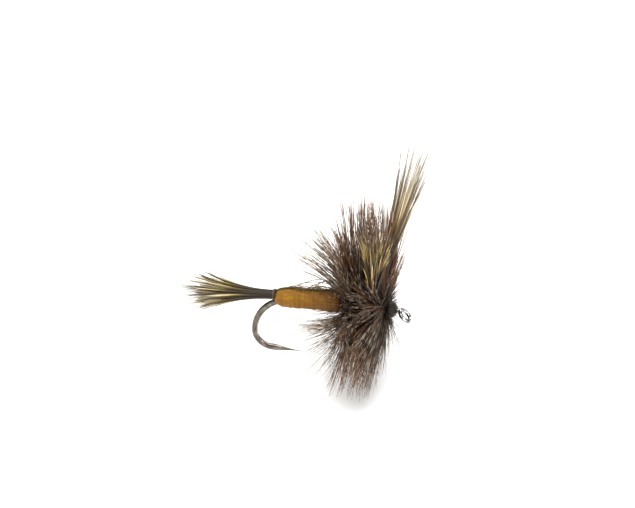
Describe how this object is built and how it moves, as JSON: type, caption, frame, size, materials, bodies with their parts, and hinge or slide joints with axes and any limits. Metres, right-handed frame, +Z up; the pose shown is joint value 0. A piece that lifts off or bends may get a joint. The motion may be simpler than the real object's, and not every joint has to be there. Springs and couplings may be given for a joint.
{
  "type": "dry fly",
  "caption": "Hair-winged dry fly with an ochre floss body, hair tail, upright divided wings and a mixed brown and barred hackle collar on a down-eyed hook.",
  "frame": {"origin": "centre of the hole in the hook's eye", "axes": "+X forward along the hook shank towards the eye, +Z up towards the wings, the hook's point below"},
  "size_m": [0.0221, 0.0186, 0.0212],
  "materials": {
    "bronzed_steel": "bronzed wire, lightly worn",
    "black_thread": "waxed tying thread",
    "hair_butts": "trimmed hair, bound down",
    "ochre_floss": "silky wound floss",
    "back_hair": "coarse glossy hair",
    "tail_hair": "stiff barred hair",
    "wing_hair": "stiff hair with tan tips",
    "brown_feather": "glossy stiff barbs",
    "grizzly_feather": "glossy stiff barred barbs",
    "varnish": "clear head varnish over black"
  },
  "bodies": {
    "root": {"hook": "bronzed_steel", "thread_base": "black_thread", "tail_lashing": "black_thread", "shellback_tie_down": "black_thread", "right_wing_post_wraps": "black_thread", "left_wing_post_wraps": "black_thread", "figure_eight_wraps": "black_thread", "wing_dam_wraps": "black_thread", "hackle_tie_in_wraps": "black_thread", "hackle_tie_off_wraps": "black_thread", "thread_head": "black_thread", "whip_finish": "black_thread", "underbody": "hair_butts", "floss_body": "ochre_floss", "shellback_hair": "back_hair", "tail_hair": "tail_hair", "right_wing_hair": "wing_hair", "left_wing_hair": "wing_hair", "brown_hackle_stem": "brown_feather", "brown_hackle_barbs": "brown_feather", "grizzly_hackle_stem": "grizzly_feather", "grizzly_hackle_barbs": "grizzly_feather", "head_cement": "varnish"}
  },
  "joints": []
}
